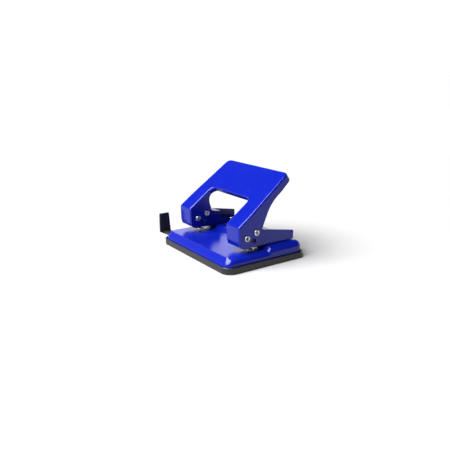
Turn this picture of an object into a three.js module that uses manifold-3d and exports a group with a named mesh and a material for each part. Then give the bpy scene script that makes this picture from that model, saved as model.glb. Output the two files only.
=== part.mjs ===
// Two-hole paper punch, in millimetres, +Z up.
// X runs along the row of punched holes, and -Y is the side the paper enters from.
// The origin is the centre of the chip tray's underside.
import * as THREE from 'three';
import { mergeVertices } from 'three/addons/utils/BufferGeometryUtils.js';
import Module from 'manifold-3d';

// ---- driving dimensions ----
const HOLE_SPACING = 80;          // between the two punched holes
const PAPER_MARGIN = 12;          // from the hole centres to the edge of the paper
const PUNCH_RADIUS = 3;
const RUN_GAP = 0.3;              // clearance round pins and sliding pieces

const TRAY = { width: 113.6, depth: 89.4, height: 6.1, corner: 9, wall: 1.4, floor: 1.6 };
const BASE = { halfWidth: 54.9, halfDepth: 42.9, corner: 8, bottom: 1.9, front: 13.3, rear: 16.2, sheet: 1.2 };
const BASE_EDGE = { inset: 5.2, drop: 6 };        // pressed rounding round the top of the base

const PIVOT = { y: -19, z: 27.1 };                // lever hinge line
const CROSS = { y: 10.28, z: 3.73 };              // cross pin, measured from the hinge line
const WINDOW = { y: 7.7, z: -3.5, radius: 2.4 };  // round window in each lever flange, from the hinge line
const PUNCH_Y = PIVOT.y + 10.6;
const STOP_Y = PUNCH_Y + PAPER_MARGIN;            // the base's step, which stops the paper

const LEVER = { sheet: 1.2, outer: 49.9, inner: 30.1, rearHalf: 46.1, slope: 0.6347 };
const LEVER_TOP = 13.63;                          // the plate's outer face, from the hinge line
const LEVER_END = 69.5;                           // the plate's rear end, along its slope
const CUTOUT_END = 31.6;                          // rear edge of the hand cut-out, along the slope
const PLATE_CORNER = 6;                           // radius of the plate's two rear corners
const LIP = 7;                                    // depth of the fold along the plate's rear end
const HEEL_RADIUS = 9.8;                          // round lower end of the lever's legs

const BRACKET = {
  outer: 47.2, inner: 32.8, sheet: 1.4, web: 1.2, bottom: 16.6, top: 35.5, rear: 36.2,
  roofEnd: 9.4, roofEndTop: 30.06,                // where the roof stops, and its height there
  innerTop: 22.9, innerEnd: 21, innerEndTop: 20.9, // the inner wall's low top edge and its rear end
};
// The pins' bore is given as a share of the shank's radius.
const PIN = { pivot: 1.8, cross: 1.5, head: 2.7, headThick: 0.9, bore: 0.76, boreDepth: 5 };
const PUNCH = { tip: 17.4, top: 41.5, notch: 1.1 };
const SPRING = { low: 18.1, high: 27, radius: 3.85, wire: 0.35, turns: 4.5 };
const GAUGE = { face: -69, thick: 1.6, low: 6.6, front: -37, back: -29, end: 48, railEnd: -36 };

const COLOURS = {
  paint: { color: 0x1b36e8, roughness: 0.3, metalness: 0 },
  bracket: { color: 0x1b36e8, roughness: 0.3, metalness: 0 },
  plastic: { color: 0x18181e, roughness: 0.55, metalness: 0 },
  steel: { color: 0xc8c8d2, roughness: 0.28, metalness: 1 },
  spring: { color: 0x9a9aa2, roughness: 0.35, metalness: 1 },
};

// ---- solids ----
const wasm = await Module();
wasm.setup();

function solidOf(geometry) {
  const bare = geometry.clone();
  bare.deleteAttribute('normal');
  bare.deleteAttribute('uv');
  const merged = mergeVertices(bare, 1e-4);
  return new wasm.Manifold(new wasm.Mesh({
    numProp: 3,
    vertProperties: new Float32Array(merged.attributes.position.array),
    triVerts: new Uint32Array(merged.index.array),
  }));
}

function geometryOf(solid) {
  const mesh = solid.getMesh();
  const geometry = new THREE.BufferGeometry();
  geometry.setAttribute('position', new THREE.BufferAttribute(new Float32Array(mesh.vertProperties), 3));
  geometry.setIndex(new THREE.BufferAttribute(new Uint32Array(mesh.triVerts), 1));
  geometry.computeVertexNormals();
  return geometry;
}

// An outline through corner points [u, v, radius], with each corner rounded to its radius.
function roundedOutline(corners) {
  const shape = new THREE.Shape();
  const points = corners.map(([u, v]) => new THREE.Vector2(u, v));
  corners.forEach(([, , radius = 0], i) => {
    const here = points[i];
    const before = points[(i + points.length - 1) % points.length].clone().sub(here).normalize();
    const after = points[(i + 1) % points.length].clone().sub(here).normalize();
    const half = Math.acos(THREE.MathUtils.clamp(before.dot(after), -1, 1)) / 2;
    const reach = radius / Math.tan(half);
    const start = here.clone().addScaledVector(before, reach);
    const end = here.clone().addScaledVector(after, reach);
    if (i === 0) {
      shape.moveTo(start.x, start.y);
    } else {
      shape.lineTo(start.x, start.y);
    }
    if (radius > 0) {
      shape.quadraticCurveTo(here.x, here.y, end.x, end.y);
    }
  });
  shape.closePath();
  return shape;
}

function rectangle(halfX, lowY, highY, radius) {
  return roundedOutline([
    [-halfX, lowY, radius], [halfX, lowY, radius], [halfX, highY, radius], [-halfX, highY, radius],
  ]);
}

// A plan outline in X and Y, standing from z = low to z = high.
function standing(shape, low, high, curveSegments = 6) {
  const geometry = new THREE.ExtrudeGeometry(shape, { depth: high - low, bevelEnabled: false, curveSegments });
  geometry.translate(0, 0, low);
  return solidOf(geometry);
}

// A side outline in Y and Z, running from x = low to x = high.
function across(shape, low, high, curveSegments = 6) {
  const geometry = new THREE.ExtrudeGeometry(shape, { depth: high - low, bevelEnabled: false, curveSegments });
  geometry.applyMatrix4(new THREE.Matrix4().set(0, 0, 1, low, 1, 0, 0, 0, 0, 1, 0, 0, 0, 0, 0, 1));
  return solidOf(geometry);
}

function block(low, high) {
  const size = high.map((value, axis) => value - low[axis]);
  const geometry = new THREE.BoxGeometry(...size);
  geometry.translate(...low.map((value, axis) => value + size[axis] / 2));
  return solidOf(geometry);
}

function rodAcross(radius, y, z, low, high, sides = 18) {
  const geometry = new THREE.CylinderGeometry(radius, radius, high - low, sides);
  geometry.rotateZ(Math.PI / 2);
  geometry.translate((low + high) / 2, y, z);
  return solidOf(geometry);
}

function rodUp(radius, x, y, low, high, sides = 20) {
  const geometry = new THREE.CylinderGeometry(radius, radius, high - low, sides);
  geometry.rotateX(Math.PI / 2);
  geometry.translate(x, y, (low + high) / 2);
  return solidOf(geometry);
}

// A turned piece about a vertical axis at (x, y), from its closed section of [radius, z] points.
function turned(section, x, y, sides = 24) {
  const points = [...section, section[0]].map(([radius, z]) => new THREE.Vector2(radius, z));
  const geometry = new THREE.LatheGeometry(points, sides);
  geometry.rotateX(Math.PI / 2);
  geometry.translate(x, y, 0);
  return solidOf(geometry);
}

const part = new THREE.Group();

function add(name, solid, finish) {
  const mesh = new THREE.Mesh(geometryOf(solid), new THREE.MeshStandardMaterial(COLOURS[finish]));
  mesh.name = name;
  part.add(mesh);
  return mesh;
}

const SIDES = [['left', -1], ['right', 1]];
const HALF_SPACING = HOLE_SPACING / 2;

// ---- chip tray: moulded plastic, shallow, with an upstanding rim ----
function chipTray() {
  const halfX = TRAY.width / 2;
  const halfY = TRAY.depth / 2;
  const outside = standing(rectangle(halfX, -halfY, halfY, TRAY.corner), 0, TRAY.height);
  const inX = halfX - TRAY.wall;
  const inY = halfY - TRAY.wall;
  const hollow = standing(rectangle(inX, -inY, inY, TRAY.corner - TRAY.wall), TRAY.floor, TRAY.height + 1);
  return outside.subtract(hollow);
}

// ---- base plate: pressed steel cover with a raised rear half ----
// The pressing's form at a given distance inside its outer skin.
function baseForm(inside, bottom) {
  const pressed = (lowY, top) => {
    const halfX = BASE.halfWidth - inside - BASE_EDGE.inset;
    const inY = BASE.halfDepth - inside - BASE_EDGE.inset;
    const outline = rectangle(halfX, lowY ?? -inY, inY, BASE.corner - BASE_EDGE.inset);
    const height = top - inside - bottom;
    const geometry = new THREE.ExtrudeGeometry(outline, {
      depth: height,
      bevelEnabled: true,
      bevelSize: BASE_EDGE.inset,
      bevelThickness: BASE_EDGE.drop,
      bevelSegments: 4,
      curveSegments: 4,
    });
    geometry.translate(0, 0, bottom - BASE_EDGE.drop);
    const floor = block([-70, -60, bottom], [70, 60, top - inside + 1]);
    return solidOf(geometry).intersect(floor);
  };
  const raised = pressed(STOP_Y - 15, BASE.rear);
  const behindStop = block([-70, STOP_Y + inside, bottom - 1], [70, 60, BASE.rear + 1]);
  return pressed(undefined, BASE.front).add(raised.intersect(behindStop));
}

function basePlate() {
  let plate = baseForm(0, BASE.bottom).subtract(baseForm(BASE.sheet, BASE.bottom - 1));
  for (const [, side] of SIDES) {
    plate = plate.subtract(rodUp(DIE.body + RUN_GAP, side * HALF_SPACING, PUNCH_Y, 10, 15));
    for (const y of RIVET_Y) {
      plate = plate.subtract(rodUp(RIVET.shank + RUN_GAP, side * HALF_SPACING, y, 10, 20, 14));
    }
  }
  const gaugeSlot = block(
    [-60, GAUGE.front - RUN_GAP, GAUGE.low - RUN_GAP],
    [-50, GAUGE.back + RUN_GAP, GAUGE.low + GAUGE.thick + RUN_GAP],
  );
  return plate.subtract(gaugeSlot);
}

// ---- dies: hardened rings under each punch, flanged below the sheet ----
const DIE = { body: 4.5, flange: 6, bore: PUNCH_RADIUS + 0.2, low: 10.4, shoulder: 11.8, top: 13.2 };

function die(side) {
  return turned([
    [DIE.bore, DIE.low], [DIE.flange, DIE.low], [DIE.flange, DIE.shoulder],
    [DIE.body, DIE.shoulder], [DIE.body, DIE.top], [DIE.bore, DIE.top],
  ], side * HALF_SPACING, PUNCH_Y);
}

// ---- brackets: folded steel channels that carry the lever and guide the punches ----
const RIVET = { shank: 1.6, head: 3, headHigh: 1.4, tail: 2.8 };
const RIVET_Y = [14, 29];

function bracket(side) {
  const walls = roundedOutline([
    [PIVOT.y + 3, BRACKET.bottom, 2], [BRACKET.rear, BRACKET.bottom, 1], [BRACKET.rear, 25.25, 1.2],
    [0.8, 31.6, 3], [-5.5, BRACKET.top, 3], [PIVOT.y - 2, BRACKET.top, 1.5], [PIVOT.y - 4.5, 33, 1],
    [PIVOT.y - 4.5, 21.5, 1],
  ]);
  const hollow = roundedOutline([
    [-40, BRACKET.bottom + BRACKET.web], [60, BRACKET.bottom + BRACKET.web], [60, 40], [BRACKET.roofEnd, 40],
    [BRACKET.roofEnd, BRACKET.roofEndTop - BRACKET.web], [0.6, 31.6 - BRACKET.web, 2],
    [-5.8, BRACKET.top - BRACKET.web, 2],
    [-40, BRACKET.top - BRACKET.web],
  ]);
  // Behind the roof the inner wall drops to a low edge, parallel to the outer wall's.
  const aboveInner = roundedOutline([
    [BRACKET.roofEnd, 40], [BRACKET.roofEnd, BRACKET.innerTop, 1], [BRACKET.innerEnd, BRACKET.innerEndTop],
    [BRACKET.innerEnd, BRACKET.bottom + BRACKET.web], [60, BRACKET.bottom + BRACKET.web], [60, 40],
  ]);
  const span = (clear) => [side * (BRACKET.inner + clear), side * (BRACKET.outer - clear)].sort((a, b) => a - b);
  const innerWall = [side * (BRACKET.inner - 1), side * (BRACKET.inner + BRACKET.sheet)].sort((a, b) => a - b);
  let channel = across(walls, ...span(0)).subtract(across(hollow, ...span(BRACKET.sheet)));
  channel = channel.subtract(across(aboveInner, ...innerWall));
  const pinSlot = roundedOutline([
    [PIVOT.y + 8.3, 20, 2], [PIVOT.y + 12.9, 20, 2], [PIVOT.y + 12.9, 32.8, 2], [PIVOT.y + 8.3, 32.8, 2],
  ]);
  channel = channel.subtract(across(pinSlot, side * 40 - 20, side * 40 + 20, 3));
  channel = channel.subtract(rodAcross(PIN.pivot + RUN_GAP, PIVOT.y, PIVOT.z, side * 40 - 20, side * 40 + 20));
  channel = channel.subtract(rodUp(PUNCH_RADIUS + RUN_GAP, side * HALF_SPACING, PUNCH_Y, 10, 40));
  for (const y of RIVET_Y) {
    channel = channel.subtract(rodUp(RIVET.shank + RUN_GAP, side * HALF_SPACING, y, 10, 20, 14));
  }
  return channel;
}

// Rivets through the bracket's web and the base's raised half, with a domed head and a flat tail.
function bracketRivet(side, y) {
  const seat = BRACKET.bottom + BRACKET.web + RUN_GAP;
  const under = BASE.rear - BASE.sheet - RUN_GAP;
  return turned([
    [0, under - 1], [RIVET.tail, under - 1], [RIVET.tail, under], [RIVET.shank, under], [RIVET.shank, seat],
    [RIVET.head, seat], [RIVET.head * 0.85, seat + RIVET.headHigh * 0.55],
    [RIVET.head * 0.5, seat + RIVET.headHigh * 0.9], [0, seat + RIVET.headHigh],
  ], side * HALF_SPACING, y, 16);
}

// ---- lever: one steel pressing with two box legs; its own frame has the hinge line as origin ----
const ALONG = [Math.cos(LEVER.slope), Math.sin(LEVER.slope)];

// The point at a distance along the plate's slope and a height above the hinge line, square to it.
function onPlate(along, height) {
  return [ALONG[0] * along - ALONG[1] * height, ALONG[1] * along + ALONG[0] * height];
}

function legOutline(shape, rearEdge) {
  shape.splineThru(rearEdge.map(([y, z]) => new THREE.Vector2(y, z)));
  shape.absarc(0, 0, HEEL_RADIUS, -Math.PI / 4, -Math.PI * 0.75, true);
  shape.lineTo(-8.2, -2.7);
  shape.lineTo(-8.6, 9.4);
  shape.quadraticCurveTo(-8.6, 10.6, -7.6, 11.34);
  return shape;
}

function outerFlange() {
  const shape = new THREE.Shape();
  shape.moveTo(-7.6, 11.34);
  shape.lineTo(...onPlate(LEVER_END - 1, LEVER_TOP));
  shape.quadraticCurveTo(...onPlate(LEVER_END, LEVER_TOP), ...onPlate(LEVER_END, LEVER_TOP - 1));
  shape.lineTo(...onPlate(LEVER_END, LEVER_TOP - LIP));
  const edge = [[40.3, 36.6], [31.7, 30.2], [25.1, 22.7], [18.5, 10.1], [14.6, 1.6], [11.4, -4], [6.93, -6.93]];
  return legOutline(shape, edge);
}

function innerFlange() {
  const shape = new THREE.Shape();
  shape.moveTo(-7.6, 11.34);
  shape.lineTo(...onPlate(CUTOUT_END - 1, LEVER_TOP));
  shape.lineTo(18.4, 24.4);
  const edge = [[15.6, 22.2], [13.6, 18.6], [13.9, 13.7], [15.3, 8.6], [14.5, 1.6], [11.4, -4], [6.93, -6.93]];
  return legOutline(shape, edge);
}

// Things laid out on the slope (x, along, height) are turned into the lever's own frame.
function leanBack(solid) {
  return solid.rotate([THREE.MathUtils.radToDeg(LEVER.slope), 0, 0]);
}

function leverPlan(inset) {
  const front = LEVER.outer - inset;
  const rear = LEVER.rearHalf - inset;
  return roundedOutline([
    [-front, -60], [front, -60], [front, 20], [rear, LEVER_END - inset, PLATE_CORNER - inset],
    [-rear, LEVER_END - inset, PLATE_CORNER - inset], [-front, 20],
  ]);
}

function cutOutPlan(margin) {
  const half = LEVER.inner + margin;
  return roundedOutline([
    [-half, -60], [half, -60], [half, CUTOUT_END + margin, 6 + margin], [-half, CUTOUT_END + margin, 6 + margin],
  ]);
}

function lever() {
  const T = LEVER.sheet;
  const outside = across(outerFlange(), -LEVER.outer, LEVER.outer)
    .intersect(leanBack(standing(leverPlan(0), -60, 40)));
  const inside = roundedOutline([
    [-7.4, (LEVER_TOP - T - ALONG[1] * 7.4) / ALONG[0]], onPlate(LEVER_END + 4, LEVER_TOP - T),
    onPlate(LEVER_END + 4, -60), [-5.6, -60], [-5.6, -7], [-7, -2.5],
  ]);
  const hollow = across(inside, -LEVER.outer, LEVER.outer)
    .intersect(leanBack(standing(leverPlan(T), -100, 40)));
  let pressing = outside.subtract(hollow);
  pressing = pressing.subtract(leanBack(standing(cutOutPlan(0), -60, 40)));
  const lip = standing(cutOutPlan(T), LEVER_TOP - 4.6, LEVER_TOP - T / 2)
    .subtract(standing(cutOutPlan(0), -60, 40))
    .subtract(block([-60, -60, -60], [60, 10, 60]));
  pressing = pressing.add(leanBack(lip));
  for (const [, side] of SIDES) {
    const span = [side * LEVER.inner, side * (LEVER.inner + T)].sort((a, b) => a - b);
    pressing = pressing.add(across(innerFlange(), ...span));
  }
  pressing = pressing.subtract(rodAcross(PIN.pivot + RUN_GAP, 0, 0, -60, 60));
  pressing = pressing.subtract(rodAcross(PIN.cross + RUN_GAP, CROSS.y, CROSS.z, -60, 60));
  pressing = pressing.subtract(rodAcross(WINDOW.radius, WINDOW.y, WINDOW.z, -60, 60));
  return pressing.translate([0, PIVOT.y, PIVOT.z]);
}

// ---- pins: tubular rivets through both flanges of a leg, bored deep at their ends ----
function pin(side, radius, y, z) {
  const centre = side * (LEVER.outer + LEVER.inner) / 2;
  const reach = (LEVER.outer - LEVER.inner) / 2 + RUN_GAP;
  const end = reach + PIN.headThick;
  const half = [[0, 0], [radius, 0], [radius, reach], [PIN.head, reach], [PIN.head, end - 0.3],
    [PIN.head - 0.4, end], [radius * PIN.bore, end], [radius * PIN.bore * 0.96, end - PIN.boreDepth],
    [0, end - PIN.boreDepth - 0.6]];
  const mirrored = half.slice(1).reverse().map(([r, h]) => [r, -h]);
  const section = [...half.slice(1), ...mirrored.filter(([, h]) => h !== 0)];
  return turned(section, 0, 0, 20).rotate([0, 90, 0]).translate([centre, y, z]);
}

// Thin washers keep the legs central on the bracket.
function pivotWasher(x) {
  return turned([[PIN.pivot + RUN_GAP, 0], [4, 0], [4, 0.9], [PIN.pivot + RUN_GAP, 0.9]], 0, 0, 20)
    .rotate([0, 90, 0]).translate([x, PIVOT.y, PIVOT.z]);
}

// ---- punches: ground steel rods with a notched tip and a slot for the cross pin ----
function punch(side) {
  const x = side * HALF_SPACING;
  let rod = rodUp(PUNCH_RADIUS, x, PUNCH_Y, PUNCH.tip, PUNCH.top, 24);
  const notch = new THREE.Shape([
    new THREE.Vector2(PUNCH_Y - 3.5, PUNCH.tip - 1), new THREE.Vector2(PUNCH_Y + 3.5, PUNCH.tip - 1),
    new THREE.Vector2(PUNCH_Y, PUNCH.tip + PUNCH.notch),
  ]);
  rod = rod.subtract(across(notch, x - 5, x + 5));
  const pinZ = PIVOT.z + CROSS.z;
  const room = PIN.cross + RUN_GAP;
  const slot = roundedOutline([
    [PUNCH_Y - 2.15, pinZ - room, 1.2], [PUNCH_Y + 2.15, pinZ - room, 1.2],
    [PUNCH_Y + 2.15, pinZ + room, 1.2], [PUNCH_Y - 2.15, pinZ + room, 1.2],
  ]);
  return rod.subtract(across(slot, x - 5, x + 5, 4));
}

// The washer the spring pushes up against; it sits under the cross pin.
function springWasher(side) {
  const bore = PUNCH_RADIUS + RUN_GAP;
  const low = SPRING.high + RUN_GAP;
  return turned([[bore, low], [4.7, low], [4.7, low + 1], [bore, low + 1]], side * HALF_SPACING, PUNCH_Y);
}

class Helix extends THREE.Curve {
  getPoint(t, target = new THREE.Vector3()) {
    const angle = t * SPRING.turns * Math.PI * 2;
    const low = SPRING.low + SPRING.wire;
    const high = SPRING.high - SPRING.wire;
    return target.set(SPRING.radius * Math.cos(angle), SPRING.radius * Math.sin(angle), low + (high - low) * t);
  }
}

function returnSpring(side) {
  const wire = new THREE.Shape();
  wire.absarc(0, 0, SPRING.wire, 0, Math.PI * 2, false);
  const geometry = new THREE.ExtrudeGeometry(wire, {
    steps: 72, curveSegments: 3, bevelEnabled: false, extrudePath: new Helix(),
  });
  geometry.translate(side * HALF_SPACING, PUNCH_Y, 0);
  return solidOf(geometry);
}

// ---- paper gauge: moulded arm that slides out to the left, with an upright tab for the paper's edge ----
function paperGauge() {
  const arm = block([GAUGE.face, GAUGE.front, GAUGE.low], [GAUGE.end, GAUGE.back, GAUGE.low + GAUGE.thick]);
  const stopLug = block(
    [GAUGE.end - 2.4, GAUGE.front, GAUGE.low + 1], [GAUGE.end, GAUGE.back, GAUGE.low + GAUGE.thick + 1.4],
  );
  const tab = roundedOutline([
    [-40.8, 7.3, 1], [-30.8, 2.1, 1.5], [-28.4, 6.7, 1], [-30.3, 26.6, 0.8], [-40.8, 26.6, 0.8],
  ]);
  return arm.add(stopLug).add(across(tab, GAUGE.face - GAUGE.thick / 2, GAUGE.face + GAUGE.thick / 2, 3));
}

// The sleeve inside the base that the gauge's arm slides in.
function gaugeRail() {
  const top = GAUGE.low + GAUGE.thick;
  const sleeve = block([-49.5, GAUGE.front - 1.6, GAUGE.low - 1.5], [GAUGE.railEnd, GAUGE.back + 1.6, top + 1.5]);
  const way = block([-60, GAUGE.front - RUN_GAP, GAUGE.low - RUN_GAP], [-30, GAUGE.back + RUN_GAP, top + RUN_GAP]);
  return sleeve.subtract(way);
}

// ---- assembly ----
add('chip_tray', chipTray(), 'plastic');
add('base_plate', basePlate(), 'paint');
add('gauge_rail', gaugeRail(), 'steel');
add('paper_gauge', paperGauge(), 'plastic');
add('lever', lever(), 'paint');

for (const [name, side] of SIDES) {
  add(`bracket_${name}`, bracket(side), 'bracket');
  add(`die_${name}`, die(side), 'steel');
  add(`bracket_rivet_${name}_front`, bracketRivet(side, RIVET_Y[0]), 'steel');
  add(`bracket_rivet_${name}_rear`, bracketRivet(side, RIVET_Y[1]), 'steel');
  add(`pivot_pin_${name}`, pin(side, PIN.pivot, PIVOT.y, PIVOT.z), 'steel');
  add(`cross_pin_${name}`, pin(side, PIN.cross, PIVOT.y + CROSS.y, PIVOT.z + CROSS.z), 'steel');
  const washerGap = (LEVER.outer - LEVER.sheet - BRACKET.outer - 0.9) / 2;
  const outerX = BRACKET.outer + washerGap;
  const innerX = BRACKET.inner - washerGap - 0.9;
  add(`pivot_washer_${name}_outer`, pivotWasher(side > 0 ? outerX : -outerX - 0.9), 'steel');
  add(`pivot_washer_${name}_inner`, pivotWasher(side > 0 ? innerX : -innerX - 0.9), 'steel');
  add(`punch_${name}`, punch(side), 'steel');
  add(`spring_washer_${name}`, springWasher(side), 'steel');
  add(`return_spring_${name}`, returnSpring(side), 'spring');
}

export default part;
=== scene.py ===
# A two-hole paper punch on a pale studio floor, in metres, +Z up.
# X runs along the row of holes and paper enters from -Y. Lengths below are in metres unless a name says otherwise.
import math

import bmesh
import bpy
from mathutils import Matrix, Vector


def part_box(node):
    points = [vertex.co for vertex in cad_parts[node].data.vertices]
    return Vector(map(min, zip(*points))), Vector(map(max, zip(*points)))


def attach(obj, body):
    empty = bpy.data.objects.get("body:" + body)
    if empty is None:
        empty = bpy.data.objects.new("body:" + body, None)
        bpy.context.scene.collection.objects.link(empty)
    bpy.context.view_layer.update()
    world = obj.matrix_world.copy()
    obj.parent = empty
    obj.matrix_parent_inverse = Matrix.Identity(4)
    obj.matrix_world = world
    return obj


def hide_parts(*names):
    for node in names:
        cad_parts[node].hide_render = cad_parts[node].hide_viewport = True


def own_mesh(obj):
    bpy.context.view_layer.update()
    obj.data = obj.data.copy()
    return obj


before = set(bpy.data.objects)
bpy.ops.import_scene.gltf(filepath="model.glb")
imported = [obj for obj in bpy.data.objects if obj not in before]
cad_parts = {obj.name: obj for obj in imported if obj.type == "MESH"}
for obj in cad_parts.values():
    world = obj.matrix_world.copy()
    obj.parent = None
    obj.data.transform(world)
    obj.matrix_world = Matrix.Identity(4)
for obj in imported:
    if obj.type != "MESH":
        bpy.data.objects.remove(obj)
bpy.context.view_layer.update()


# ---------------------------------------------------------------- camera and studio
# A stills camera on a stand, in front of the punch and to its right, looking a little down.
camera_data = bpy.data.cameras.new("studio_camera")
camera_data.sensor_width = 36
camera_data.lens = 42.73
camera = bpy.data.objects.new("studio_camera", camera_data)
bpy.context.scene.collection.objects.link(camera)
camera.location = (0.3995, -0.2823, 0.1662)
TURN = math.radians(55.49)
TILT = math.radians(16.16)
sight = Vector((-math.sin(TURN) * math.cos(TILT), math.cos(TURN) * math.cos(TILT), -math.sin(TILT)))
camera.rotation_euler = sight.to_track_quat("-Z", "Y").to_euler()
bpy.context.scene.camera = camera

# The floor is a wide pale board, matt, with a very faint unevenness.
floor_mesh = bpy.data.meshes.new("studio_floor")
FLOOR_HALF = 40.0
floor_mesh.from_pydata(
    [(-FLOOR_HALF, -FLOOR_HALF, 0), (FLOOR_HALF, -FLOOR_HALF, 0),
     (FLOOR_HALF, FLOOR_HALF, 0), (-FLOOR_HALF, FLOOR_HALF, 0)],
    [], [(0, 1, 2, 3)],
)
studio_floor = bpy.data.objects.new("studio_floor", floor_mesh)
bpy.context.scene.collection.objects.link(studio_floor)
floor_paint = bpy.data.materials.new("floor_board")
floor_paint.use_nodes = True
floor_tree = floor_paint.node_tree
floor_shader = floor_tree.nodes["Principled BSDF"]
floor_shader.inputs["Roughness"].default_value = 0.9
floor_shader.inputs["Specular IOR Level"].default_value = 0.1
floor_cloud = floor_tree.nodes.new("ShaderNodeTexNoise")
floor_cloud.label = "faint unevenness"
floor_cloud.location = (-600, 200)
floor_cloud.inputs["Scale"].default_value = 3
floor_tone = floor_tree.nodes.new("ShaderNodeValToRGB")
floor_tone.label = "pale board"
floor_tone.location = (-350, 200)
floor_tone.color_ramp.elements[0].color = (0.41, 0.41, 0.415, 1)
floor_tone.color_ramp.elements[1].color = (0.43, 0.43, 0.43, 1)
floor_tree.links.new(floor_cloud.outputs["Fac"], floor_tone.inputs["Fac"])
floor_tree.links.new(floor_tone.outputs["Color"], floor_shader.inputs["Base Color"])
studio_floor.data.materials.append(floor_paint)


# A soft box low behind the punch and to its left gives the base its sheen.
rear_data = bpy.data.lights.new("rear_soft_box", "AREA")
rear_data.shape = "RECTANGLE"
rear_data.size = 1.5
rear_data.size_y = 0.55
rear_data.energy = 3.0
rear_soft_box = bpy.data.objects.new("rear_soft_box", rear_data)
bpy.context.scene.collection.objects.link(rear_soft_box)
rear_soft_box.location = (-1.62, 1.08, 0.62)
rear_soft_box.rotation_euler = Vector((1.62, -1.08, -0.59)).to_track_quat("-Z", "Y").to_euler()

# The main light is a very broad soft sun from the front, so the floor is lit evenly out to the horizon.
key_data = bpy.data.lights.new("key_light", "SUN")
key_data.energy = 9.3
key_data.angle = math.radians(50)
key_light = bpy.data.objects.new("key_light", key_data)
bpy.context.scene.collection.objects.link(key_light)
key_light.rotation_euler = Vector((0.10, 0.58, -0.81)).to_track_quat("-Z", "Y").to_euler()

# The room has one white wall, behind and to the left; the ceiling and the other walls are dark.
room = bpy.data.worlds.new("studio_room")
bpy.context.scene.world = room
room.use_nodes = True
room_tree = room.node_tree
room_tree.nodes.clear()
room_place = room_tree.nodes.new("ShaderNodeTexCoord")
room_place.location = (-1100, 0)
room_parts = room_tree.nodes.new("ShaderNodeSeparateXYZ")
room_parts.label = "height above the horizon"
room_parts.location = (-900, 150)
room_ceiling = room_tree.nodes.new("ShaderNodeMapRange")
room_ceiling.label = "wall's top edge"
room_ceiling.location = (-700, 150)
room_ceiling.inputs["From Min"].default_value = 0.45
room_ceiling.inputs["From Max"].default_value = 0.15
room_side = room_tree.nodes.new("ShaderNodeVectorMath")
room_side.label = "towards the rear left"
room_side.operation = "DOT_PRODUCT"
room_side.location = (-900, -150)
room_side.inputs[1].default_value = (-0.82, 0.57, 0)
room_wall = room_tree.nodes.new("ShaderNodeMapRange")
room_wall.label = "wall's side edges"
room_wall.location = (-700, -150)
room_wall.inputs["From Min"].default_value = -0.1
room_wall.inputs["From Max"].default_value = 0.7
room_share = room_tree.nodes.new("ShaderNodeMath")
room_share.label = "share of white wall"
room_share.operation = "MULTIPLY"
room_share.location = (-500, 0)
room_tone = room_tree.nodes.new("ShaderNodeMix")
room_tone.label = "dark room to white wall"
room_tone.data_type = "RGBA"
room_tone.location = (-300, 0)
room_tone.inputs["A"].default_value = (0.015, 0.015, 0.018, 1)
room_tone.inputs["B"].default_value = (1.05, 1.05, 1.05, 1)
room_light = room_tree.nodes.new("ShaderNodeBackground")
room_light.location = (-100, 0)
room_out = room_tree.nodes.new("ShaderNodeOutputWorld")
room_out.location = (100, 0)
room_tree.links.new(room_place.outputs["Generated"], room_parts.inputs["Vector"])
room_tree.links.new(room_place.outputs["Generated"], room_side.inputs[0])
room_tree.links.new(room_parts.outputs["Z"], room_ceiling.inputs["Value"])
room_tree.links.new(room_side.outputs["Value"], room_wall.inputs["Value"])
room_tree.links.new(room_ceiling.outputs["Result"], room_share.inputs[0])
room_tree.links.new(room_wall.outputs["Result"], room_share.inputs[1])
room_tree.links.new(room_share.outputs["Value"], room_tone.inputs["Factor"])
room_tree.links.new(room_tone.outputs["Result"], room_light.inputs["Color"])
room_tree.links.new(room_light.outputs["Background"], room_out.inputs["Surface"])
bpy.context.scene.view_settings.view_transform = "Standard"


# ---------------------------------------------------------------- base cover
# One steel pressing, 1.2 mm thick, with its edges drawn down all round and its rear half raised.
# The step across the middle is the stop that the paper's edge meets. Stoved gloss paint, blue.

# Every finish starts from one shader, read at each point's place on the punch.
def bare_finish(name, label):
    finish = bpy.data.materials.new(name)
    finish.use_nodes = True
    tree = finish.node_tree
    tree.nodes.clear()
    out = tree.nodes.new("ShaderNodeOutputMaterial")
    out.label = "finish"
    out.location = (700, 0)
    shader = tree.nodes.new("ShaderNodeBsdfPrincipled")
    shader.label = label
    shader.location = (400, 0)
    place = tree.nodes.new("ShaderNodeTexCoord")
    place.label = "place on the punch"
    place.location = (-1000, 0)
    tree.links.new(shader.outputs["BSDF"], out.inputs["Surface"])
    return finish, tree, shader, place


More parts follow.
